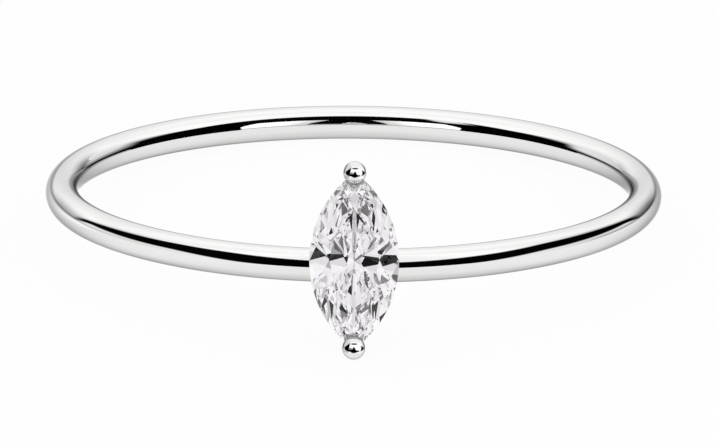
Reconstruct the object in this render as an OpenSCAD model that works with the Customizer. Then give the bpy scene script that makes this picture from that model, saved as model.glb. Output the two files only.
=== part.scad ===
// Thin round-wire ring with one marquise stone held between two ball-tipped prongs.
// Millimetres, +Z up. The ring lies on its side as it would by itself: the back of
// the band and the lower prong tip touch the surface at z = 0, the stone faces -Y.

/* [Band] */
// Inside diameter of the band, where the finger goes
finger_d = 16.5; // [14:0.1:22]
// Diameter of the round wire of the band
wire_d = 1.0; // [0.8:0.05:1.4]

/* [Stone] */
// Length of the stone from point to point
stone_length = 5.25; // [4.5:0.05:6.5]
// Width of the stone across its belly
stone_width = 2.65; // [2.3:0.05:3.2]
// Height of the crown, from the girdle up to the table
crown_h = 0.38; // [0.25:0.01:0.5]
// Depth of the pavilion, from the girdle down to the culet
pavilion_h = 1.13; // [0.9:0.01:1.3]
// Thickness of the girdle where it is thickest
girdle_h = 0.07; // [0.06:0.01:0.12]
// Size of the table as a share of the stone
table_share = 0.56; // [0.5:0.01:0.64]
// How far down the crown the star facets reach, as a share of its height
star_share = 0.5; // [0.4:0.01:0.6]
// How far down the pavilion the lower halves reach, as a share of its depth
lower_share = 0.78; // [0.7:0.01:0.85]

/* [Setting] */
// Angle that the setting leans back, in degrees
head_lean = 19; // [0:1:24]
// Diameter of the bent wire that makes both prongs
prong_d = 0.52; // [0.44:0.02:0.6]
// Diameter of the ball at the end of each prong
tip_d = 0.68; // [0.62:0.02:0.8]
// Height of each ball's centre above the middle of the girdle
tip_rise = 0.2; // [0.14:0.01:0.26]
// Distance of each ball's centre inside the point of the stone
tip_inset = 0.03; // [0:0.01:0.08]
// Height of the bent wire's lowest centre above the centre of the band wire
prong_foot = 0.2; // [0.1:0.01:0.24]
// Clear height between the culet and the band
culet_gap = 0.12; // [0.08:0.01:0.3]
// Clearance between the stone and the metal that holds it
seat_gap = 0.025; // [0.02:0.005:0.04]

/* [Hidden] */
$fn = 72;

wire_r = wire_d / 2;
band_r = finger_d / 2 + wire_r;
tip_r = tip_d / 2;

// Outline of the stone: two arcs that meet in a point at each end
half_l = stone_length / 2;
half_w = stone_width / 2;
arc_r = (half_l * half_l + half_w * half_w) / (2 * half_w);
arc_offset = arc_r - half_w;
arc_end = asin(half_l / arc_r);

// Heights of the setting above the centre of the band wire
girdle_z = wire_r + culet_gap + pavilion_h + girdle_h / 2;
tip_y = half_l - tip_inset;
tip_z = girdle_z + tip_rise;

// Arc of the bent prong wire, through its foot and the centres of both balls
prong_h = tip_z - prong_foot;
prong_arc_r = (tip_y * tip_y + prong_h * prong_h) / (2 * prong_h);
prong_arc_end = asin(tip_y / prong_arc_r);

// Centre of the lower ball, before the ring is laid down
ball_y = -band_r - tip_z * cos(head_lean) - tip_y * sin(head_lean);
ball_z = tip_z * sin(head_lean) - tip_y * cos(head_lean);

// Pose in which the back of the band and the lower ball both touch z = 0
contact_run = band_r - ball_y;
contact_span = sqrt(contact_run * contact_run + ball_z * ball_z);
rest_tilt = atan(-ball_z / contact_run) + asin((tip_r - wire_r) / contact_span);
rest_z = band_r * sin(rest_tilt) + wire_r;
back_y = band_r * cos(rest_tilt) + wire_r;
front_y = ball_y * cos(rest_tilt) + ball_z * sin(rest_tilt) - tip_r;
rest_y = -(back_y + front_y) / 2;

// Facets: eight mains round the stone, two halves to each, and steps along each half
MAINS = 8;
HALVES = 2 * MAINS;
STEPS = 4;
COLUMNS = HALVES * STEPS;
QUARTER = HALVES / 4;

// Point of the outline at u, which runs from 0 at the right of the belly to HALVES
function arc_point(a) = [arc_r * cos(a) - arc_offset, arc_r * sin(a)];
function rim(u) =
    u <= QUARTER ? arc_point(arc_end * u / QUARTER)
    : u <= 2 * QUARTER ? mirrored(rim(2 * QUARTER - u), [-1, 1])
    : u <= 3 * QUARTER ? mirrored(rim(u - 2 * QUARTER), [-1, -1])
    : mirrored(rim(4 * QUARTER - u), [1, -1]);
function mirrored(p, signs) = [p[0] * signs[0], p[1] * signs[1]];

// Direction that main facet k faces, seen from above: square to the outline, or to
// the length of the stone at its two points
MAIN_TURNS = [0, arc_end / 2, 90, 180 - arc_end / 2];
function main_turn(k) = MAIN_TURNS[k % 4] + (k % MAINS >= 4 ? 180 : 0);
function main_facing(k) = [cos(main_turn(k)), sin(main_turn(k))];
function main_reach(k) = main_facing(k) * rim((2 * k) % HALVES);

// Corner where the edges of main facets k and k + 1 would meet at the girdle
function main_corner(k) =
    let (a = main_facing(k), b = main_facing(k + 1))
    let (ra = main_reach(k), rb = main_reach(k + 1))
    let (d = a[0] * b[1] - a[1] * b[0])
    [(ra * b[1] - rb * a[1]) / d, (rb * a[0] - ra * b[0]) / d];

// Crown corners, and pavilion corners with their depth counted downwards
function table_point(k) = let (p = table_share * rim(2 * k)) [p[0], p[1], girdle_h / 2 + crown_h];
function star_point(k) =
    let (p = (1 - star_share * (1 - table_share)) * main_corner(k))
    [p[0], p[1], girdle_h / 2 + (1 - star_share) * crown_h];
function lower_point(k) =
    let (p = (1 - lower_share) * main_corner(k))
    [p[0], p[1], girdle_h / 2 + lower_share * pavilion_h];

// Height of the girdle's edge at p, on the plane of half facet j through its inner corner
function half_edge(p, j, inner) =
    let (a = rim(j), b = rim(j + 1))
    let (facing = [b[1] - a[1], a[0] - b[0]])
    let (slope = (inner[2] - girdle_h / 2) / (facing * a - facing * [inner[0], inner[1]]))
    girdle_h / 2 + (facing * a - facing * p) * slope;

function edge_point(i, up) =
    let (j = floor(i / STEPS), p = rim(i / STEPS), k = floor(j / 2))
    let (inner = up > 0 ? star_point(k) : lower_point(k))
    [p[0], p[1], up * half_edge(p, j, inner)];

// Places of the corners in the list of points
FIRST_STAR = MAINS;
FIRST_UPPER = 2 * MAINS;
FIRST_UNDER = FIRST_UPPER + COLUMNS;
FIRST_LOWER = FIRST_UNDER + COLUMNS;
CULET = FIRST_LOWER + MAINS;
function star_at(k) = FIRST_STAR + (k + MAINS) % MAINS;
function lower_at(k) = FIRST_LOWER + (k + MAINS) % MAINS;
function upper_at(i) = FIRST_UPPER + i % COLUMNS;
function under_at(i) = FIRST_UNDER + i % COLUMNS;
function flipped(face) = [for (i = [len(face) - 1:-1:0]) face[i]];

// Lays its children down in the pose in which the ring rests
module at_rest() {
    translate([0, rest_y, rest_z])
        rotate([-rest_tilt, 0, 0])
            children();
}

// Puts its children on the front of the band: their +Z looks out, their +Y runs
// along the length of the stone
module on_head() {
    translate([0, -band_r, 0])
        rotate([90 - head_lean, 0, 0])
            children();
}

// The band: one round wire
module band() {
    color("gainsboro")
        rotate_extrude()
            translate([band_r, 0])
                circle(d = wire_d);
}

// One wire bent to an arc, soldered across the band, whose two ends are the prongs
module prong_wire() {
    color("gainsboro")
        translate([0, 0, prong_foot + prong_arc_r])
            rotate([90, 0, 90])
                rotate_extrude(angle = 2 * prong_arc_end, start = -90 - prong_arc_end)
                    translate([prong_arc_r, 0])
                        circle(d = prong_d);
}

// The balls that close over the points of the stone
module prong_tips() {
    color("white")
        for (side = [-1, 1])
            translate([0, side * tip_y, tip_z])
                sphere(d = tip_d);
}

// Room cut for the stone: its outline and its long profile, both with clearance
module stone_seat() {
    over = girdle_h / 2 + seat_gap;
    top = over + crown_h;
    low = over + pavilion_h;
    end = half_l + seat_gap;
    flat = end * table_share;
    translate([0, 0, girdle_z])
        intersection() {
            translate([0, 0, -low])
                linear_extrude(low + top)
                    intersection_for(side = [-1, 1])
                        translate([side * arc_offset, 0])
                            circle(r = arc_r + seat_gap, $fn = 4 * $fn);
            rotate([90, 0, 90])
                linear_extrude(stone_width, center = true)
                    polygon([
                        [0, -low], [end, -over], [end, over], [flat, top],
                        [-flat, top], [-end, over], [-end, -over]
                    ]);
        }
}

// Band, prongs and balls are soldered to one piece of metal
module band_and_setting() {
    at_rest()
        difference() {
            union() {
                band();
                on_head() {
                    prong_wire();
                    prong_tips();
                }
            }
            on_head()
                stone_seat();
        }
}

// Marquise brilliant: a table, 8 stars, 8 mains and 16 halves above the girdle, and
// 8 mains and 16 halves below it
module marquise() {
    points = concat(
        [for (k = [0:MAINS - 1]) table_point(k)],
        [for (k = [0:MAINS - 1]) star_point(k)],
        [for (i = [0:COLUMNS - 1]) edge_point(i, 1)],
        [for (i = [0:COLUMNS - 1]) edge_point(i, -1)],
        [for (k = [0:MAINS - 1]) let (p = lower_point(k)) [p[0], p[1], -p[2]]],
        [[0, 0, -girdle_h / 2 - pavilion_h]]
    );
    table = [for (k = [MAINS - 1:-1:0]) k];
    stars = [for (k = [0:MAINS - 1]) [star_at(k), k, (k + 1) % MAINS]];
    mains = [for (k = [0:MAINS - 1]) [k, star_at(k), upper_at(2 * k * STEPS), star_at(k - 1)]];
    upper_halves = [
        for (j = [0:HALVES - 1])
            concat([star_at(floor(j / 2))], [for (i = [STEPS:-1:0]) upper_at(j * STEPS + i)])
    ];
    girdle = [
        for (i = [0:COLUMNS - 1])
            [upper_at(i), upper_at(i + 1), under_at(i + 1), under_at(i)]
    ];
    lower_halves = [
        for (j = [0:HALVES - 1])
            concat([lower_at(floor(j / 2))], [for (i = [0:STEPS]) under_at(j * STEPS + i)])
    ];
    lower_mains = [
        for (k = [0:MAINS - 1])
            [CULET, lower_at(k - 1), under_at(2 * k * STEPS), lower_at(k)]
    ];
    polyhedron(
        points,
        concat([table], stars, mains, upper_halves, girdle, lower_halves, lower_mains)
    );
}

module stone() {
    color("aliceblue")
        at_rest()
            on_head()
                translate([0, 0, girdle_z])
                    marquise();
}

band_and_setting();
stone();
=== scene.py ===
"""Looks of a thin round-wire ring with one marquise stone held by two ball-tipped prongs.

The file is laid out as an add-on. Run as a script, it makes the polished metal, gives the
stone its finish and sets up the table, the light and the camera. Sizes are the real ones.
Surfaces are worked out in millimetres and go into the meshes in metres.
"""

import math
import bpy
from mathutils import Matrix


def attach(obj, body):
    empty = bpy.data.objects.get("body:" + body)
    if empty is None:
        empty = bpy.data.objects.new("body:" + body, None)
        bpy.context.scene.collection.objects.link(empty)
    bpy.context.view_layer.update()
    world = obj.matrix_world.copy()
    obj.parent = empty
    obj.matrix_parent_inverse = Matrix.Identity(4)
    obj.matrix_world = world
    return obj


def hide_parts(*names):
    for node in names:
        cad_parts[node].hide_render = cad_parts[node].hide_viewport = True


bl_info = {
    "name": "Marquise Solitaire Ring",
    "version": (1, 0, 0),
    "blender": (4, 5, 0),
    "location": "3D View > Sidebar > Ring",
    "description": "Makes a thin wire ring with a marquise stone, its finish and its studio",
    "category": "Object",
}

from types import SimpleNamespace

import bpy
import numpy as np
from mathutils import Matrix, Vector

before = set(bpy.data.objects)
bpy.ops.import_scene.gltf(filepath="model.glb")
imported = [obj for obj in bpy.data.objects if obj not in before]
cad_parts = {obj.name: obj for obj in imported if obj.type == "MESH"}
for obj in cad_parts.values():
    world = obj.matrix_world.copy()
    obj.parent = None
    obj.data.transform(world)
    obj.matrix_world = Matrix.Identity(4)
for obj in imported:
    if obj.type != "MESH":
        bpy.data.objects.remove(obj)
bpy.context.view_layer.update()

# One millimetre in metres
MM = 0.001

# The photograph's frame in pixels, and where the middle of the band lies in it
PHOTO_WIDTH = 715
PHOTO_HEIGHT = 448
CENTRE_PX = (353.5, 192.95)
# Pixels to one millimetre at the middle of the band
PX_PER_MM = 33.3
# Width of the camera's sensor in millimetres
SENSOR_WIDTH = 36
# Times that light is followed from facet to facet inside the stone
STONE_BOUNCES = 24
# Places of a Mix node's colour sockets, which share their names with its other kinds
MIX_COLOR_A = 6
MIX_COLOR_B = 7
MIX_COLOR_RESULT = 2


class RingSizes(bpy.types.PropertyGroup):
    """Driving sizes of the ring, the same as in the part's source"""

    finger_d: bpy.props.FloatProperty(
        name="Finger hole",
        description="Inside diameter of the band",
        default=16.5 * MM, min=14 * MM, max=22 * MM, unit="LENGTH",
    )
    wire_d: bpy.props.FloatProperty(
        name="Band wire",
        description="Diameter of the round wire of the band",
        default=1.0 * MM, min=0.8 * MM, max=1.4 * MM, unit="LENGTH",
    )
    stone_length: bpy.props.FloatProperty(
        name="Stone length",
        description="Length of the stone from point to point",
        default=5.25 * MM, min=4.5 * MM, max=6.5 * MM, unit="LENGTH",
    )
    stone_width: bpy.props.FloatProperty(
        name="Stone width",
        description="Width of the stone across its belly",
        default=2.65 * MM, min=2.3 * MM, max=3.2 * MM, unit="LENGTH",
    )
    crown_h: bpy.props.FloatProperty(
        name="Crown height",
        description="Height from the girdle up to the table",
        default=0.38 * MM, min=0.25 * MM, max=0.5 * MM, unit="LENGTH",
    )
    pavilion_h: bpy.props.FloatProperty(
        name="Pavilion depth",
        description="Depth from the girdle down to the culet",
        default=1.13 * MM, min=0.9 * MM, max=1.3 * MM, unit="LENGTH",
    )
    girdle_h: bpy.props.FloatProperty(
        name="Girdle",
        description="Thickness of the girdle where it is thickest",
        default=0.07 * MM, min=0.06 * MM, max=0.12 * MM, unit="LENGTH",
    )
    table_share: bpy.props.FloatProperty(
        name="Table",
        description="Size of the table as a share of the stone",
        default=0.56, min=0.5, max=0.64, subtype="FACTOR",
    )
    head_lean: bpy.props.FloatProperty(
        name="Lean of the head",
        description="Angle that the setting leans back",
        default=math.radians(19), min=0, max=math.radians(24), subtype="ANGLE",
    )
    prong_d: bpy.props.FloatProperty(
        name="Prong wire",
        description="Diameter of the bent wire that makes both prongs",
        default=0.52 * MM, min=0.44 * MM, max=0.6 * MM, unit="LENGTH",
    )
    tip_d: bpy.props.FloatProperty(
        name="Ball tips",
        description="Diameter of the ball at the end of each prong",
        default=0.68 * MM, min=0.62 * MM, max=0.8 * MM, unit="LENGTH",
    )
    tip_rise: bpy.props.FloatProperty(
        name="Ball height",
        description="Height of each ball's centre above the middle of the girdle",
        default=0.2 * MM, min=0.14 * MM, max=0.26 * MM, unit="LENGTH",
    )
    tip_inset: bpy.props.FloatProperty(
        name="Ball inset",
        description="Distance of each ball's centre inside the point of the stone",
        default=0.03 * MM, min=0, max=0.08 * MM, unit="LENGTH",
    )
    prong_foot: bpy.props.FloatProperty(
        name="Prong foot",
        description="Height of the bent wire's lowest centre above the band wire's centre",
        default=0.2 * MM, min=0.1 * MM, max=0.24 * MM, unit="LENGTH",
    )
    culet_gap: bpy.props.FloatProperty(
        name="Culet gap",
        description="Clear height between the culet and the band",
        default=0.12 * MM, min=0.08 * MM, max=0.3 * MM, unit="LENGTH",
    )
    seat_gap: bpy.props.FloatProperty(
        name="Seat gap",
        description="Clearance between the stone and the metal that holds it",
        default=0.025 * MM, min=0.02 * MM, max=0.04 * MM, unit="LENGTH",
    )


class RingFinish(bpy.types.PropertyGroup):
    """Colours and gloss of the two materials"""

    metal_color: bpy.props.FloatVectorProperty(
        name="Metal",
        description="Colour that the polished metal reflects",
        default=(0.80, 0.80, 0.795), min=0, max=1, subtype="COLOR",
    )
    metal_roughness: bpy.props.FloatProperty(
        name="Metal roughness",
        description="Roughness of the polish",
        default=0.035, min=0, max=1, subtype="FACTOR",
    )
    stone_color: bpy.props.FloatVectorProperty(
        name="Stone",
        description="Faint tint of the stone",
        default=(0.985, 0.96, 0.99), min=0, max=1, subtype="COLOR",
    )
    stone_ior: bpy.props.FloatProperty(
        name="Stone refraction",
        description="Index of refraction of the stone",
        default=2.417, min=1.5, max=2.8,
    )


class RingStudio(bpy.types.PropertyGroup):
    """Table, light and camera"""

    sky: bpy.props.FloatProperty(
        name="Sky",
        description="Brightness of the soft light that metal and stone reflect",
        default=1.75, min=0, max=3,
    )
    floor_light: bpy.props.FloatProperty(
        name="Table",
        description="Brightness of the pale table",
        default=0.99, min=0, max=1, subtype="FACTOR",
    )
    camera_height: bpy.props.FloatProperty(
        name="Camera height",
        description="Angle of the camera above the plane of the band",
        default=math.radians(14.25), subtype="ANGLE",
    )
    camera_turn: bpy.props.FloatProperty(
        name="Camera turn",
        description="Angle of the camera to the left of the stone",
        default=math.radians(0.2), subtype="ANGLE",
    )
    camera_roll: bpy.props.FloatProperty(
        name="Camera roll",
        description="Turn of the camera about its own axis",
        default=math.radians(0.45), subtype="ANGLE",
    )
    lens: bpy.props.FloatProperty(
        name="Lens",
        description="Focal length in millimetres",
        default=1000, min=50, max=1000,
    )


def ring_shape():
    """Derived lengths in millimetres and the two placing matrices, as in the part's source.

    The outline of the stone is two arcs that meet in a point at each end. The prong wire
    is an arc through its foot and both balls. The ring lies on the back of the band and
    on the lower ball, so it tilts by the angle of the line that touches both.
    """
    sizes = bpy.context.scene.ring_sizes
    s = SimpleNamespace()
    s.wire_r = sizes.wire_d / 2 / MM
    s.band_r = sizes.finger_d / 2 / MM + s.wire_r
    s.prong_r = sizes.prong_d / 2 / MM
    s.tip_r = sizes.tip_d / 2 / MM
    s.crown_h = sizes.crown_h / MM
    s.pavilion_h = sizes.pavilion_h / MM
    s.girdle_h = sizes.girdle_h / MM
    s.table_share = sizes.table_share
    s.seat_gap = sizes.seat_gap / MM

    s.half_l = sizes.stone_length / 2 / MM
    s.half_w = sizes.stone_width / 2 / MM
    s.arc_r = (s.half_l**2 + s.half_w**2) / (2 * s.half_w)
    s.arc_offset = s.arc_r - s.half_w

    s.girdle_z = s.wire_r + sizes.culet_gap / MM + s.pavilion_h + s.girdle_h / 2
    s.tip_y = s.half_l - sizes.tip_inset / MM
    s.tip_z = s.girdle_z + sizes.tip_rise / MM

    s.prong_foot = sizes.prong_foot / MM
    prong_h = s.tip_z - s.prong_foot
    s.prong_arc_r = (s.tip_y**2 + prong_h**2) / (2 * prong_h)
    s.prong_arc_end = math.asin(s.tip_y / s.prong_arc_r)

    lean = sizes.head_lean
    ball_y = -s.band_r - s.tip_z * math.cos(lean) - s.tip_y * math.sin(lean)
    ball_z = s.tip_z * math.sin(lean) - s.tip_y * math.cos(lean)
    run = s.band_r - ball_y
    touch = math.asin((s.tip_r - s.wire_r) / math.hypot(run, ball_z))
    s.tilt = math.atan(-ball_z / run) + touch
    rest_z = s.band_r * math.sin(s.tilt) + s.wire_r
    back_y = s.band_r * math.cos(s.tilt) + s.wire_r
    front_y = ball_y * math.cos(s.tilt) + ball_z * math.sin(s.tilt) - s.tip_r
    s.centre = Vector((0, -(back_y + front_y) / 2, rest_z))

    s.at_rest = Matrix.Translation(s.centre) @ Matrix.Rotation(-s.tilt, 4, "X")
    quarter = math.radians(90)
    s.on_head = Matrix.Translation((0, -s.band_r, 0)) @ Matrix.Rotation(quarter - lean, 4, "X")
    return s


def moved(matrix, points):
    """Points, one to a row, carried by a matrix."""
    m = np.array(matrix)
    return points @ m[:3, :3].T + m[:3, 3]


# Surfaces


def grid_quads(rows, columns, loop):
    """Quads of a grid that closes round its columns, and round its rows too for a loop."""
    row = np.arange(rows if loop else rows - 1)[:, None]
    column = np.arange(columns)[None, :]
    after = (row + 1) % rows
    beside = (column + 1) % columns
    a = row * columns + column
    b = row * columns + beside
    c = after * columns + beside
    d = after * columns + column
    return np.stack([a, b, c, d], axis=-1).reshape(-1, 4)


def swept(path, across, radius, sides, loop=False):
    """Points and faces of a round tube along a flat path.

    Point (i, j) is path[i] + radius[i] (cos b across + sin b up), where b goes once round
    in even steps, across is the one direction square to the path's plane, and up is
    across x (direction of the path). An open path whose radius ends at 0 closes there in
    a fan of triangles.
    """
    if loop:
        along = np.roll(path, -1, axis=0) - np.roll(path, 1, axis=0)
    else:
        along = np.gradient(path, axis=0)
    along /= np.linalg.norm(along, axis=1, keepdims=True)
    across = np.asarray(across, float)
    up = np.cross(across, along)
    b = np.linspace(0, 2 * np.pi, sides, endpoint=False)[None, :, None]
    ring = np.cos(b) * across + np.sin(b) * up[:, None, :]
    points = path[:, None, :] + radius[:, None, None] * ring
    if loop:
        quads = grid_quads(len(path), sides, True)
        return points.reshape(-1, 3), quads.tolist()
    inner = points[1:-1].reshape(-1, 3)
    count = len(inner)
    quads = grid_quads(len(path) - 2, sides, False).tolist()
    j = np.arange(sides)
    beside = (j + 1) % sides
    last = count - sides
    start_fan = np.stack([np.full(sides, count), beside, j], axis=1)
    end_fan = np.stack([np.full(sides, count + 1), last + j, last + beside], axis=1)
    points = np.vstack([inner, path[:1], path[-1:]])
    return points, quads + start_fan.tolist() + end_fan.tolist()


def band_surface(s, steps=512, sides=64):
    """The band: a torus, a circle of the wire's radius carried round a circle of the
    band's radius."""
    a = np.linspace(0, 2 * np.pi, steps, endpoint=False)
    path = np.stack([np.cos(a), np.sin(a), 0 * a], axis=1) * s.band_r
    return swept(path, (0, 0, 1), np.full(steps, s.wire_r), sides, loop=True)


def prong_surface(s, steps=160, sides=48):
    """The prong wire: a tube along the arc (0, R sin t, foot + R - R cos t), t from -end
    to end, whose radius follows a quarter circle down to 0 over its own length."""
    t = np.linspace(-s.prong_arc_end, s.prong_arc_end, steps)
    cap = s.prong_r / s.prong_arc_r
    turn = np.linspace(0, np.pi / 2, 9)
    head = -s.prong_arc_end + cap * (1 - np.cos(turn))
    inside = t[(t > head[-1]) & (t < -head[-1])]
    t = np.concatenate([head, inside, -head[::-1]])
    to_end = (s.prong_arc_end - np.abs(t)) / cap
    radius = s.prong_r * np.sqrt(np.clip(1 - np.clip(1 - to_end, 0, 1) ** 2, 0, 1))
    path = np.stack([0 * t, s.prong_arc_r * np.sin(t), -s.prong_arc_r * np.cos(t)], axis=1)
    path[:, 2] += s.prong_foot + s.prong_arc_r
    points, faces = swept(path, (1, 0, 0), radius, sides)
    return moved(s.on_head, points), faces


def ball_surface(s, side, steps=65, sides=96):
    """One ball: circles of radius r sin a along a straight path -r cos a."""
    a = np.linspace(0, np.pi, steps)
    centre = np.array([0, side * s.tip_y, s.tip_z])
    path = centre + np.outer(-s.tip_r * np.cos(a), (0, 1, 0))
    points, faces = swept(path, (1, 0, 0), s.tip_r * np.sin(a), sides)
    return moved(s.on_head, points), faces


def seat_surface(s, steps=97):
    """Room for the stone: at each y a box as wide as the outline and as high as the long
    profile, both with clearance.

    Half the width is sqrt(R^2 - y^2) - offset. The profile runs from the table's edge
    down to the girdle's upper edge, and from its lower edge to the culet, in straight
    lines. The two ends are flat.
    """
    over = s.girdle_h / 2 + s.seat_gap
    end = s.half_l + s.seat_gap
    y = np.linspace(-end, end, steps)
    width = np.sqrt((s.arc_r + s.seat_gap) ** 2 - y**2) - s.arc_offset
    flat = end * s.table_share
    top = over + s.crown_h * np.clip((end - np.abs(y)) / (end - flat), 0, 1)
    low = over + s.pavilion_h * (1 - np.abs(y) / end)
    corners = [(1, top), (-1, top), (-1, -low), (1, -low)]
    section = [np.stack([side * width, y, s.girdle_z + z], axis=1) for side, z in corners]
    points = np.stack(section, axis=1)
    last = 4 * (steps - 1)
    quads = grid_quads(steps, 4, False).tolist()
    ends = [[3, 2, 1, 0], [last, last + 1, last + 2, last + 3]]
    return moved(s.on_head, points.reshape(-1, 3)), quads + ends


def new_object(name, points, faces):
    """A mesh object with these points and faces."""
    mesh = bpy.data.meshes.new(name)
    mesh.from_pydata(points, [], faces)
    mesh.update()
    obj = bpy.data.objects.new(name, mesh)
    bpy.context.scene.collection.objects.link(obj)
    return obj


def combine(body, operation, tool):
    """Put the result of a Boolean into the body's mesh, and remove the tool."""
    modifier = body.modifiers.new("Join", "BOOLEAN")
    modifier.operation = operation
    modifier.solver = "EXACT"
    modifier.object = tool
    depsgraph = bpy.context.evaluated_depsgraph_get()
    result = bpy.data.meshes.new_from_object(body.evaluated_get(depsgraph))
    body.modifiers.remove(modifier)
    spent = [body.data, tool.data]
    body.data = result
    bpy.data.objects.remove(tool)
    for mesh in spent:
        bpy.data.meshes.remove(mesh)


def away_from_circle(points, centre, axis, big_r, small_r):
    """Distance from a torus, and the direction straight out of it, at each point.

    The nearest point of the torus's middle circle lies at big_r along the part of the
    point's place that is square to the axis.
    """
    offset = points - centre
    flat = offset - np.outer(offset @ axis, axis)
    flat /= np.linalg.norm(flat, axis=1, keepdims=True)
    out = offset - big_r * flat
    length = np.linalg.norm(out, axis=1)
    return length - small_r, out / length[:, None]


def away_from_point(points, centre, radius):
    """Distance from a ball, and the direction straight out of it, at each point."""
    out = points - centre
    length = np.linalg.norm(out, axis=1)
    return length - radius, out / length[:, None]


def polish(mesh, s, tolerance=0.004):
    """Give each face the true normals of the surface that its corners lie on.

    A face belongs to the band, the prong wire or a ball if all its corners are nearer to
    that surface than the tolerance and it faces within 60 degrees of straight out of it.
    Its normals at the corners then point straight out. Faces of the seat keep their own
    flat normal.
    """
    count = len(mesh.vertices)
    points = np.empty(count * 3)
    mesh.vertices.foreach_get("co", points)
    points = points.reshape(-1, 3)

    head = np.array(s.on_head)
    prong_centre = moved(s.on_head, np.array([[0, 0, s.prong_foot + s.prong_arc_r]]))[0]
    balls = moved(s.on_head, np.array([[0, side * s.tip_y, s.tip_z] for side in (-1, 1)]))
    surfaces = [
        away_from_circle(points, np.zeros(3), np.array([0, 0, 1]), s.band_r, s.wire_r),
        away_from_circle(points, prong_centre, head[:3, 0], s.prong_arc_r, s.prong_r),
        away_from_point(points, balls[0], s.tip_r),
        away_from_point(points, balls[1], s.tip_r),
    ]

    loops = np.empty(len(mesh.loops), int)
    mesh.loops.foreach_get("vertex_index", loops)
    starts = np.empty(len(mesh.polygons), int)
    mesh.polygons.foreach_get("loop_start", starts)
    totals = np.empty(len(mesh.polygons), int)
    mesh.polygons.foreach_get("loop_total", totals)
    flat = np.empty(len(mesh.polygons) * 3)
    mesh.polygons.foreach_get("normal", flat)
    face_of_loop = np.repeat(np.arange(len(mesh.polygons)), totals)

    normals = flat.reshape(-1, 3)[face_of_loop]
    best = np.full(len(mesh.polygons), tolerance)
    for distance, outward in surfaces:
        worst = np.maximum.reduceat(np.abs(distance)[loops], starts)
        facing = np.einsum("ij,ij->i", outward[loops], flat.reshape(-1, 3)[face_of_loop])
        agrees = np.minimum.reduceat(facing, starts) > math.cos(math.radians(60))
        mine = (worst < best) & agrees
        best = np.where(mine, worst, best)
        chosen = mine[face_of_loop]
        normals[chosen] = outward[loops][chosen]
    mesh.polygons.foreach_set("use_smooth", np.ones(len(mesh.polygons), bool))
    return normals


def lay_down(mesh, matrix, normals):
    """Carry a mesh and its normals by a matrix and turn it from millimetres into metres."""
    points = np.empty(len(mesh.vertices) * 3)
    mesh.vertices.foreach_get("co", points)
    points = moved(matrix, points.reshape(-1, 3)) * MM
    mesh.vertices.foreach_set("co", points.ravel())
    mesh.update()
    turn = np.array(matrix.to_3x3())
    mesh.normals_split_custom_set(normals @ turn.T)


# Shader maths


class Value:
    """One output of a shader node. Arithmetic on it adds Math nodes."""

    def __init__(self, tree, socket):
        self.tree = tree
        self.socket = socket

    def __getattr__(self, name):
        """Another output of the same node, such as the Y of a SeparateXYZ node."""
        if name.startswith("_"):
            raise AttributeError(name)
        return Value(self.tree, self.socket.node.outputs[name])

    def __add__(self, other):
        return maths("ADD", self, other)

    def __radd__(self, other):
        return maths("ADD", other, self)

    def __sub__(self, other):
        return maths("SUBTRACT", self, other)

    def __rsub__(self, other):
        return maths("SUBTRACT", other, self)

    def __mul__(self, other):
        return maths("MULTIPLY", self, other)

    def __rmul__(self, other):
        return maths("MULTIPLY", other, self)

    def __abs__(self):
        return maths("ABSOLUTE", self)


def add_node(tree, kind, settings=None, inputs=None):
    """Add a node of any type, with its settings first and then its sockets' values or
    links, and return its first output. A ramp's stops are pairs of place and grey."""
    node = tree.nodes.new("ShaderNode" + kind)
    settings = dict(settings or {})
    stops = settings.pop("stops", None)
    for name, setting in settings.items():
        setattr(node, name, setting)
    if stops:
        ramp = node.color_ramp.elements
        while len(ramp) < len(stops):
            ramp.new(1)
        for element, (place, grey) in zip(ramp, stops):
            element.position = place
            element.color = (grey, grey, grey, 1)
    for name, value in (inputs or {}).items():
        if isinstance(value, Value):
            tree.links.new(value.socket, node.inputs[name])
        else:
            node.inputs[name].default_value = value
    return Value(tree, node.outputs[0])


def maths(operation, *values):
    """A Math node on numbers and Values."""
    tree = next(value.tree for value in values if isinstance(value, Value))
    return add_node(tree, "Math", {"operation": operation}, dict(enumerate(values)))


def smooth(value, low, high):
    """0 below low, 1 above high and an S-shaped rise between them."""
    return add_node(
        value.tree, "MapRange", {"interpolation_type": "SMOOTHSTEP"},
        {"Value": value, "From Min": low, "From Max": high},
    )


def between(value, low, high, soft):
    """1 where a value lies between two limits, with soft edges. The limits are numbers or
    Values."""
    above = smooth(value, low - soft, low + soft)
    return above * (1 - smooth(value, high - soft, high + soft))


def clamped(value, low, high):
    """A value held between two limits."""
    return add_node(value.tree, "Clamp", {}, {"Value": value, "Min": low, "Max": high})


def blend(factor, first, second):
    """A number that goes from the first to the second as the factor goes from 0 to 1."""
    return first + factor * (second - first)


def mixed_color(tree, factor, first, second):
    """A colour between two, which are sockets or RGB values."""
    first, second = [c if isinstance(c, Value) else (*c, 1) for c in (first, second)]
    inputs = {"Factor": factor, MIX_COLOR_A: first, MIX_COLOR_B: second}
    node = add_node(tree, "Mix", {"data_type": "RGBA"}, inputs).socket.node
    return Value(tree, node.outputs[MIX_COLOR_RESULT])


def mixed_shader(tree, share, first, second):
    """A shader that goes from the first to the second as the share goes from 0 to 1."""
    return add_node(tree, "MixShader", {}, {0: share, 1: first, 2: second})


def noise(tree, place, scale, detail, roughness=0.5):
    """Soft noise from 0 to 1, with about as many patches to a metre as the scale says."""
    return add_node(
        tree, "TexNoise", {},
        {"Vector": place, "Scale": scale, "Detail": detail, "Roughness": roughness},
    )


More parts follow.
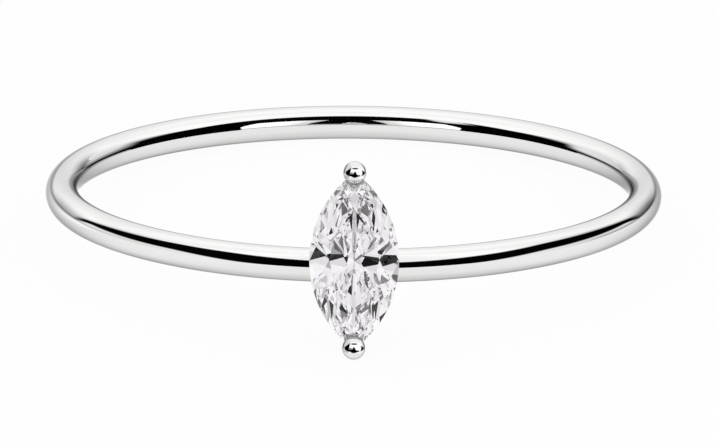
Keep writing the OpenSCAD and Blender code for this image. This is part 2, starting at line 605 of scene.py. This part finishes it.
def light_path(tree):
    """What is known of a ray: whether the camera sent it out, whether a matt surface or
    the inside of the stone sent it on, and how many surfaces it has met."""
    path = add_node(tree, "LightPath")
    return SimpleNamespace(
        camera=getattr(path, "Is Camera Ray"),
        matt=getattr(path, "Is Diffuse Ray"),
        through=getattr(path, "Is Transmission Ray"),
        depth=getattr(path, "Ray Depth"),
    )


def new_material(name):
    """An empty node material. Its glow is found by the rays that meet it, not sampled as
    a lamp."""
    material = bpy.data.materials.new(name)
    material.use_nodes = True
    material.cycles.emission_sampling = "NONE"
    tree = material.node_tree
    tree.nodes.clear()
    return material, tree


def finish_material(tree, surface):
    """Link a shader to the material's output."""
    output = tree.nodes.new("ShaderNodeOutputMaterial")
    tree.links.new(surface.socket, output.inputs["Surface"])


# Materials


def polished_metal():
    """White precious metal, mirror polished: the polish leaves faint clouds and a very
    shallow waviness."""
    finish = bpy.context.scene.ring_finish
    material, tree = new_material("polished_metal")
    place = add_node(tree, "TexCoord").Object
    cloud = noise(tree, place, scale=700, detail=3, roughness=0.6)
    swirl = noise(tree, place, scale=2600, detail=2)
    clouded = [0.985 * c for c in finish.metal_color]
    color = mixed_color(tree, smooth(cloud, 0.35, 0.7), finish.metal_color, clouded)
    bump = add_node(
        tree, "Bump", {}, {"Strength": 0.05, "Distance": 0.004 * MM, "Height": cloud}
    )
    surface = add_node(tree, "BsdfPrincipled", {}, {
        "Base Color": color,
        "Metallic": 1.0,
        "Roughness": finish.metal_roughness * (0.8 + 0.4 * swirl),
        "Specular Tint": (0.42, 0.42, 0.42, 1),
        "Normal": bump,
    })
    finish_material(tree, surface)
    return material


def clear_stone():
    """Cut stone, clear and nearly colourless, with the faintest clouding of its tint."""
    finish = bpy.context.scene.ring_finish
    material, tree = new_material("clear_stone")
    place = add_node(tree, "TexCoord").Object
    haze = noise(tree, place, scale=500, detail=2)
    hazy = [0.99 * c for c in finish.stone_color]
    color = mixed_color(tree, smooth(haze, 0.4, 0.65), finish.stone_color, hazy)
    surface = add_node(tree, "BsdfPrincipled", {}, {
        "Base Color": color,
        "Roughness": 0.0,
        "IOR": finish.stone_ior,
        "Specular Tint": (0.2, 0.2, 0.2, 1),
        "Transmission Weight": 1.0,
    })
    finish_material(tree, surface)
    return material


def pale_table():
    """White table that looks evenly lit to the camera.

    For the ring's reflections its glow is painted light and shade: painted light makes it
    brighter at the two sides, most at the left, and painted shade darkens it under the front
    and the back of the band and fades it far behind. Light that has come through the stone
    sees painted panes of unlike light on it, crossed by a painted dark bar in front. Places on
    the table are in millimetres from the middle of the ring's box.
    """
    studio = bpy.context.scene.ring_studio
    material, tree = new_material("pale_table")
    matt = add_node(tree, "BsdfDiffuse", {}, {"Color": (0.8, 0.8, 0.8, 1)})
    place = add_node(tree, "TexCoord").Object
    parts = add_node(tree, "SeparateXYZ", {}, {"Vector": place})
    sideways = parts.X * (1 / MM)
    along = parts.Y * (1 / MM)
    across = abs(sideways)
    reach = maths("SQRT", across * across + along * along)

    # Painted shade under the front and the back of the band, fading in far behind, which only
    # the ring's reflections see
    front = 0.7 * between(reach, 4.5, 8.6, 1) * smooth(0 - along, 2.5, 5)
    back = smooth(reach, 8.9, 10.2) * smooth(along, 3, 6) * (1 - smooth(across, 5, 8))
    painted_shade = clamped(front + back + smooth(along, 14, 30), 0, 1)
    # Painted light for the reflections: brighter at the two sides, most at the left
    sides = between(across, 8, 26, 3) * smooth(along, -1, 5)
    sides = sides * blend(smooth(sideways, -1, 1), 0.38, 0.1)
    # Glow that the ring's reflections see: the painted side light, dimmed by the painted shade
    painted_light_and_shade = (1.02 + 0.04 * smooth(across, 6, 8) + sides) * (1 - 0.3 * painted_shade)

    # For light that has come through the stone: painted panes of unlike light, crossed by a
    # painted dark bar in front
    ahead = 0 - along - 10
    bar = between(sideways + 0.12 * ahead, -0.13 * ahead, 0.13 * ahead, 0.5)
    bar = bar * smooth(ahead, 4, 6)
    painted_light_through_stone = 1.05 * panes(tree, place, 600) * (1 - 0.95 * bar)

    path = light_path(tree)
    # The camera sees the glow even; only reflections and light through the stone see the
    # painted light and shade
    light = blend(path.camera, blend(path.through, painted_light_and_shade, painted_light_through_stone), 1)
    glow = add_node(
        tree, "Emission", {}, {"Color": (1, 1, 1, 1), "Strength": studio.floor_light * light}
    )
    share = blend(path.camera, 0.88, 0.95)
    finish_material(tree, mixed_shader(tree, share, matt, glow))
    return material


# Light


def direction_angles(tree, s):
    """Height in degrees above the plane of the band, and turn in degrees to the right of
    the camera, of the direction that a ray goes in."""
    direction = add_node(tree, "TexCoord")
    tilt = s.tilt
    up = (0, math.sin(tilt), math.cos(tilt))
    front = (0, -math.cos(tilt), math.sin(tilt))
    right = (1, 0, 0)

    def share(axis):
        """How far the direction goes along an axis."""
        return add_node(
            tree, "VectorMath", {"operation": "DOT_PRODUCT"}, {0: direction, 1: axis}
        ).Value

    height = maths("ARCSINE", share(up)) * math.degrees(1)
    turn = maths("ARCTAN2", share(right), share(front)) * math.degrees(1)
    return height, turn


def metal_sky(height, turn):
    """Light that the polished metal reflects: a soft sky, brightest low at the back and a
    little brighter half to each side, with the unlit part of the room in front.

    The dark part reaches from the table up to about 45 degrees. It leaves a bright strip
    above the table at the sides, and closes to a wedge and then to dusk at the back. All
    limits are in degrees, and those to either side start 3.5 degrees right of the camera.
    """
    sky = bpy.context.scene.ring_studio.sky
    aside = abs(turn - 3.5)
    right = smooth(turn, -25, 25)

    # Light of the sky at the back, from the table up, and in front
    back_light = add_node(
        height.tree, "ValToRGB",
        {"stops": [(0, 0.26), (0.06, 0.5), (0.11, 1), (0.2, 0.9), (0.4, 0.69), (1, 0.7)]},
        {"Fac": height * (1 / 90)},
    )
    front_light = 0.63 + 0.09 * between(aside, 42, 82, 22)
    light = sky * blend(smooth(aside, 95, 150), front_light, back_light)

    # Upper and lower limit of the dark part, and how dark it is
    narrowing = clamped(aside - 85, 0, 60)
    lower_right = 4.2 * (2 * right - 1) * (1 - smooth(aside, 60, 105))
    top = 36.2 + 9 * smooth(aside, 10, 75) - lower_right - 0.0145 * narrowing * narrowing
    top = maths("MAXIMUM", top, 13)
    bottom = 19 * smooth(aside, 35, 80) - 6 - 14 * smooth(aside, 118, 135)
    above = smooth(height, bottom - 2.5, bottom + 2.5)
    dark = above * (1 - smooth(height, top - 1, top + 4)) * (1 - smooth(aside, 126, 133))
    dusk = above * (1 - smooth(height, top - 4, top + 18)) * between(aside, 109, 155, 12)

    # Strip above the table, greyer near it at the back
    strip = 1 - 0.2 * (1 - above) * (1 - smooth(aside, 110, 140))
    low = between(aside, 95, 150, 12) * (1 - smooth(height, 1, 11))
    strip = strip * (1 - blend(right, 0.05, 0.5) * low)
    return light * strip * (1 - 0.999 * dark) * (1 - blend(right, 0.6, 0.85) * dusk)


def panes(tree, place, scale):
    """Light that varies from pane to pane: most panes bright, some grey and a few dark."""
    pane = add_node(tree, "TexVoronoi", {}, {"Vector": place, "Scale": scale}).Color
    return add_node(
        tree, "ValToRGB",
        {"stops": [(0, 0.07), (0.1, 0.18), (0.15, 0.42), (0.3, 0.66), (0.5, 0.86), (1, 1)]},
        {"Fac": add_node(tree, "SeparateXYZ", {}, {"Vector": pane})},
    )


def stone_sky(tree, height, turn):
    """Light that the stone gathers: a tent of unlike panes, evenly bright in front, where
    a dark bar rises to the right."""
    sky = bpy.context.scene.ring_studio.sky
    slant = height - 0.8 * turn
    bar = between(slant, 1, 22, 2) * between(turn, -13, 13, 2)
    front = between(slant, 22, 75, 3) * between(turn, -35, 35, 5)
    light = panes(tree, add_node(tree, "TexCoord"), 8)
    light = blend(front, light, 0.75 + 0.2 * smooth(slant, 25, 50))
    return 0.6 * sky * light * (1 - 0.99 * bar)


def make_world(s):
    """World light: the same white as the table to the camera, an even light on matt
    surfaces, and one sky each for the metal and the stone. A reflection of a reflection
    of a reflection sees even light, and one more step sees it nearly dark."""
    studio = bpy.context.scene.ring_studio
    world = bpy.data.worlds.new("studio_light")
    world.use_nodes = True
    tree = world.node_tree
    tree.nodes.clear()
    height, turn = direction_angles(tree, s)
    path = light_path(tree)
    third = smooth(path.depth, 2.4, 2.6)
    fourth = smooth(path.depth, 3.4, 3.6)
    metal = blend(third, metal_sky(height, turn), 0.8)
    metal = metal * (1 - 0.9 * fourth)
    light = blend(path.through, metal, stone_sky(tree, height, turn))
    light = blend(path.matt, light, 1.25)
    light = blend(path.camera, light, studio.floor_light)
    glow = add_node(tree, "Background", {}, {"Color": (1, 1, 1, 1), "Strength": light})
    output = tree.nodes.new("ShaderNodeOutputWorld")
    tree.links.new(glow.socket, output.inputs["Surface"])
    bpy.context.scene.world = world


def make_table():
    """A round table under the ring: rings of points at even angles."""
    radius = np.array([0.02, 0.06, 0.2])
    sides = 96
    a = np.linspace(0, 2 * np.pi, sides, endpoint=False)
    rim = np.stack([np.cos(a), np.sin(a), 0 * a], axis=1)
    points = (radius[:, None, None] * rim).reshape(-1, 3)
    j = np.arange(sides)
    fan = np.stack([np.full(sides, len(points)), j, (j + 1) % sides], axis=1)
    quads = grid_quads(len(radius), sides, False)[:, ::-1]
    points = np.vstack([points, [[0, 0, 0]]])
    table = new_object("table", points, fan.tolist() + quads.tolist())
    table.data.materials.append(pale_table())


def rise_between(values, low, high):
    """The S-shaped rise 3t^2 - 2t^3 from 0 at low to 1 at high, for whole arrays."""
    t = np.clip((values - low) / (high - low), 0, 1)
    return t * t * (3 - 2 * t)


def spread(first, second):
    """Two arrays that run evenly over a grid, each from a start to an end in so many
    points."""
    return np.meshgrid(np.linspace(*first), np.linspace(*second), indexing="ij")


def reflector_material():
    """Light that comes off a reflector's front, as bright as the reflector is painted at
    each point. Its back, and where it is cut away, lets everything through."""
    material, tree = new_material("reflector")
    glow = add_node(tree, "Attribute", {"attribute_name": "glow"}).Fac
    cover = add_node(tree, "Attribute", {"attribute_name": "cover"}).Fac
    behind = add_node(tree, "NewGeometry").Backfacing
    lit = add_node(tree, "Emission", {}, {"Color": (1, 1, 1, 1), "Strength": glow})
    clear = add_node(tree, "BsdfTransparent", {}, {"Color": (1, 1, 1, 1)})
    finish_material(tree, mixed_shader(tree, cover * (1 - behind), clear, lit))
    return material


def make_reflector(name, s, grid, glow, facing, cover=1):
    """A small light card from a grid of points in the band's own frame, in millimetres.

    Glow and cover are one number or one for each point. Only reflections see the card,
    and only from the side of the facing point. It isn't part of the ring.
    """
    rows, columns = grid.shape[:2]
    quads = grid_quads(rows, columns, False).reshape(rows - 1, columns, 4)
    quads = quads[:, :-1].reshape(-1, 4)
    points = grid.reshape(-1, 3)
    a, b, _, d = points[quads[len(quads) // 2]]
    if np.cross(b - a, d - a) @ (np.asarray(facing) - a) < 0:
        quads = quads[:, ::-1]
    card = new_object(name, moved(s.at_rest, points) * MM, quads.tolist())
    for title, values in (("glow", glow), ("cover", cover)):
        attribute = card.data.attributes.new(title, "FLOAT", "POINT")
        attribute.data.foreach_set("value", np.ravel(values + np.zeros(grid.shape[:2])))
    card.data.materials.append(bpy.data.materials["reflector"])
    card.visible_camera = False
    card.visible_diffuse = False
    card.visible_transmission = False
    card.visible_shadow = False


def overhead_reflector(s, level=1.5):
    """A level sheet over the back of the band, bright along the band and dark inside an
    ellipse in front of it. The dark fades slowly at the sides, and has one bright gap.

    Its back edge is the circle y = sqrt(8.2^2 - x^2), its front edge y = 5.9 - 0.03 x^2.
    """
    x, share = spread((-6.5, 6.5, 131), (0, 1, 51))
    front = 5.9 - 0.03 * x**2
    back = np.sqrt(8.2**2 - x**2)
    y = front + share * (back - front)
    grid = np.stack([x, y, np.full_like(x, level)], axis=-1)
    inside = np.hypot(x / 3.2, (y - 5.86) / 1.7)
    fade = 0.06 + 0.6 * (1 - rise_between(y, 5.9, 6.5))
    gap = rise_between(x, 1.55, 1.75) * (1 - rise_between(x, 2.2, 2.4))
    gap = gap * rise_between(y, 6.5, 6.8)
    glow = 1.22 * np.maximum(rise_between(inside, 0.99, 0.99 + fade), 0.8 * gap)
    make_reflector("overhead_reflector", s, grid, glow, (0, 6, 0))


def window_reflectors(s):
    """Three upright sheets across the middle of the band, whose light makes the long white
    window in the inner wall of the back.

    The outer edge is x = end - 0.0315 z^2. The two upper sheets leave a bell between them,
    whose flanks are x = w (1 - (z/8.4)^1.5), and the lower sheet leaves a slit to the front
    of the band and starts grey.
    """
    left_end = 4.75
    right_end = 5.2
    slit = 0.22
    for side, width, end in ((-1, 1.03, left_end), (1, 1.47, right_end)):
        z, share = spread((slit, 8.1, 61), (0, 1, 41))
        inner = width * (1 - (z / 8.4) ** 1.5)
        x = inner + share * (end - 0.0315 * z**2 - inner)
        glow = 1.45 * (0.55 + 0.45 * rise_between(x - inner, 0, 1.3))
        grid = np.stack([side * x, 0 * x, z], axis=-1)
        make_reflector(f"window_reflector_{side}", s, grid, glow, (side * 3, 8, 1))
    x, z = spread((-left_end, right_end, 41), (-1.1, -slit, 23))
    grid = np.stack([x, 0 * x, z], axis=-1)
    glow = 0.5 + 0.6 * rise_between(-z, 0.65, 0.85)
    make_reflector("window_reflector_0", s, grid, glow, (0, 8, 0))


def end_reflectors(s):
    """Upright sheets for the two ends of the back.

    One pair stands square to the band, at an angle round from each side, and its light
    rises evenly from dark at the low height to bright at the high one. The other pair is
    dark and low, and follows an arc round the band's axis up to the last angle.
    """
    turned = math.radians(41.5)
    out, z = spread((6.9, 8.3, 37), (0.1, 2, 96))
    cover = (1 - rise_between(z, 1.3, 1.7)) * (1 - rise_between(out, 7.7, 8.15))
    for side, low, high in ((-1, 0.32, 0.9), (1, 0.25, 0.52)):
        grid = np.stack([side * out * math.cos(turned), out * math.sin(turned), z], axis=-1)
        glow = 0.98 * np.clip((z - low) / (high - low), 0, 1)
        make_reflector(f"end_reflector_{side}", s, grid, glow, (side * 8.75, 0, 0.5), cover)
    arc_r = 6.5
    for side, foot, last in ((-1, -0.17, 72.6), (1, -0.1, 73.2)):
        a, z = spread((60, last, 28), (foot, 1, 23))
        a = np.radians(a)
        grid = np.stack([side * arc_r * np.cos(a), arc_r * np.sin(a), z], axis=-1)
        make_reflector(f"low_shade_{side}", s, grid, 0, (side * 5, 6.7, 0))


def ball_reflector(s, side, distance=0.8):
    """A curved sheet close in front of a ball, painted with a white window between two
    dark lobes, with a dark peak from below and a short dash above.

    The point for (u, v) is where the light that the camera sees at u to the right and v
    below the ball's middle, in radii, comes from: the ball's normal there is n = u right
    - v up + sqrt(1 - u^2 - v^2) c, with c the way to the camera. The light comes along
    d = 2 (n c) n - c, and the sheet is where that line is at the distance from the middle.
    """
    height = bpy.context.scene.ring_studio.camera_height
    toward = np.array([0, -math.cos(height), math.sin(height)])
    up = np.array([0, math.sin(height), math.cos(height)])
    p, v = spread((-0.95, 0.95, 191), (-0.8, 0.5, 131))
    u = p * np.sqrt(1 - v**2)
    depth = np.sqrt(1 - u**2 - v**2)
    normal = u[..., None] * np.array([1, 0, 0]) - v[..., None] * up + depth[..., None] * toward
    ray = 2 * depth[..., None] * normal - toward
    along = s.tip_r * depth
    reach = np.sqrt(distance**2 - s.tip_r**2 + along**2) - along
    centre = moved(s.on_head, np.array([[0, side * s.tip_y, s.tip_z]]))[0]
    grid = centre + s.tip_r * normal + reach[..., None] * ray

    def spot(middle_u, middle_v, half_u, half_v, soft):
        """1 inside an ellipse and 0 outside it."""
        away = np.hypot((u - middle_u) / half_u, (v - middle_v) / half_v)
        return 1 - rise_between(away, 1 - soft, 1 + soft)

    # Dark lobes to the left and right, the dark floor between them and its peak
    leaf = np.where(v < 0.03, 0.9, 0.33)
    left = 1 - rise_between(np.hypot((u - 0.03) / 0.83, (v - 0.03) / leaf), 0.94, 1.06)
    left = left * rise_between(0.66 + 0.706 * u + v, -0.03, 0.03)
    left = left * (1 - rise_between(u + 0.4 + 0.21 * v, -0.02, 0.03))
    around = spot(0.03, 0.03, 0.85, 0.33, 0.06)
    low = around * rise_between(v - 0.16 - 0.1 * u, -0.02, 0.03)
    low = low * (1 - rise_between(u, 0.46, 0.5))
    right = around * (1 - spot(0.25, 0.02, 0.4, 0.42, 0.06)) * rise_between(u, 0.54, 0.59)
    peak = 1 - rise_between(np.abs(u - 0.025) - 0.07 - 0.45 * (v + 0.06), -0.03, 0.03)
    peak = peak * rise_between(v, -0.12, -0.06) * (1 - rise_between(v, 0.36, 0.42))
    dark = np.maximum.reduce([left, low, right, peak, spot(0, 0.27, 0.27, 0.17, 0.1)])

    # Light around them, greyer at the upper left and towards the sides
    base = 1.1 - 0.08 * rise_between(v, 0.1, 0.3)
    upper_left = spot(-0.7, -0.35, 0.4, 0.4, 0.6) * (1 - rise_between(v, -0.1, 0.1))
    sides = rise_between(np.abs(p), 0.78, 0.93) * spot(0, -0.3, 2, 0.45, 0.4)
    base = base * (1 - 0.25 * upper_left) * (1 - 0.85 * sides)
    base = base + 0.3 * spot(-0.38, 0.4, 0.1, 0.08, 0.6) + 0.2 * spot(0.5, 0.45, 0.3, 0.2, 0.6)
    base = base - 0.4 * spot(-0.68, 0.4, 0.24, 0.2, 0.6) + 0.3 * spot(0.1, -0.1, 0.6, 0.35, 0.4)

    # Dash above, and a grey patch inside the window
    dash = spot(0.04, -0.35, 0.28, 0.075, 0.2)
    patch = spot(-0.27, 0.1, 0.17, 0.13, 0.5)
    glow = base * (1 - dark) * (1 - 0.95 * dash) * (1 - 0.8 * patch)
    make_reflector(f"ball_reflector_{side}", s, grid, glow, centre)


def make_camera(s):
    """A long lens in front, so far off that the band keeps the photograph's size."""
    studio = bpy.context.scene.ring_studio
    data = bpy.data.cameras.new("camera")
    data.lens = studio.lens
    data.sensor_width = SENSOR_WIDTH
    width = PHOTO_WIDTH / PX_PER_MM * MM
    distance = data.lens / data.sensor_width * width
    data.clip_start = distance / 10
    data.clip_end = distance * 4
    data.shift_x = (PHOTO_WIDTH / 2 - CENTRE_PX[0]) / PHOTO_WIDTH
    data.shift_y = (CENTRE_PX[1] - PHOTO_HEIGHT / 2) / PHOTO_WIDTH
    camera = bpy.data.objects.new("camera", data)
    bpy.context.scene.collection.objects.link(camera)
    rise = studio.camera_height + s.tilt
    aim = Matrix.Rotation(-studio.camera_turn, 4, "Z")
    aim @= Matrix.Rotation(math.radians(90) - rise, 4, "X")
    aim @= Matrix.Rotation(studio.camera_roll, 4, "Z")
    back_off = Matrix.Translation((0, 0, distance))
    camera.matrix_world = Matrix.Translation(s.centre * MM) @ aim @ back_off
    scene = bpy.context.scene
    scene.camera = camera
    scene.view_settings.view_transform = "Standard"
    scene.cycles.max_bounces = STONE_BOUNCES
    scene.cycles.glossy_bounces = STONE_BOUNCES
    scene.cycles.transmission_bounces = STONE_BOUNCES


# Operators


class RING_OT_metal(bpy.types.Operator):
    """Make the band, the prong wire and the balls as one polished piece of metal"""

    bl_idname = "ring.metal"
    bl_label = "Band and Setting"

    def execute(self, context):
        s = ring_shape()
        metal = new_object("polished_band_and_setting", *band_surface(s))
        combine(metal, "UNION", new_object("prong_wire", *prong_surface(s)))
        for side in (-1, 1):
            combine(metal, "UNION", new_object("ball", *ball_surface(s, side)))
        combine(metal, "DIFFERENCE", new_object("seat", *seat_surface(s)))
        lay_down(metal.data, s.at_rest, polish(metal.data, s))
        metal.data.materials.clear()
        metal.data.materials.append(polished_metal())
        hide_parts("band_and_setting")
        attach(metal, "root")
        return {"FINISHED"}


class RING_OT_stone(bpy.types.Operator):
    """Give the cut stone its clear finish"""

    bl_idname = "ring.stone"
    bl_label = "Stone"

    def execute(self, context):
        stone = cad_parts["stone"]
        stone.data.materials.clear()
        stone.data.materials.append(clear_stone())
        return {"FINISHED"}


class RING_OT_studio(bpy.types.Operator):
    """Set up the table, the light and the camera"""

    bl_idname = "ring.studio"
    bl_label = "Studio"

    def execute(self, context):
        s = ring_shape()
        make_world(s)
        make_table()
        reflector_material()
        overhead_reflector(s)
        window_reflectors(s)
        end_reflectors(s)
        for side in (-1, 1):
            ball_reflector(s, side)
        make_camera(s)
        return {"FINISHED"}


class RING_PT_panel(bpy.types.Panel):
    """Sizes, finish and studio of the ring, with the steps that make them"""

    bl_label = "Ring"
    bl_idname = "RING_PT_panel"
    bl_space_type = "VIEW_3D"
    bl_region_type = "UI"
    bl_category = "Ring"

    def draw(self, context):
        scene = context.scene
        for group in (scene.ring_sizes, scene.ring_finish, scene.ring_studio):
            box = self.layout.box()
            for name in group.__annotations__:
                box.prop(group, name)
        for step in STEPS:
            self.layout.operator(step.bl_idname)


STEPS = (RING_OT_metal, RING_OT_stone, RING_OT_studio)
GROUPS = {"ring_sizes": RingSizes, "ring_finish": RingFinish, "ring_studio": RingStudio}
CLASSES = (*GROUPS.values(), *STEPS, RING_PT_panel)


def register():
    for cls in CLASSES:
        bpy.utils.register_class(cls)
    for name, group in GROUPS.items():
        setattr(bpy.types.Scene, name, bpy.props.PointerProperty(type=group))


def unregister():
    for name in GROUPS:
        delattr(bpy.types.Scene, name)
    for cls in reversed(CLASSES):
        bpy.utils.unregister_class(cls)


def main():
    """Register the add-on and run its steps in order."""
    register()
    bpy.ops.ring.studio()
    bpy.ops.ring.metal()
    bpy.ops.ring.stone()


if __name__ == "__main__":
    main()
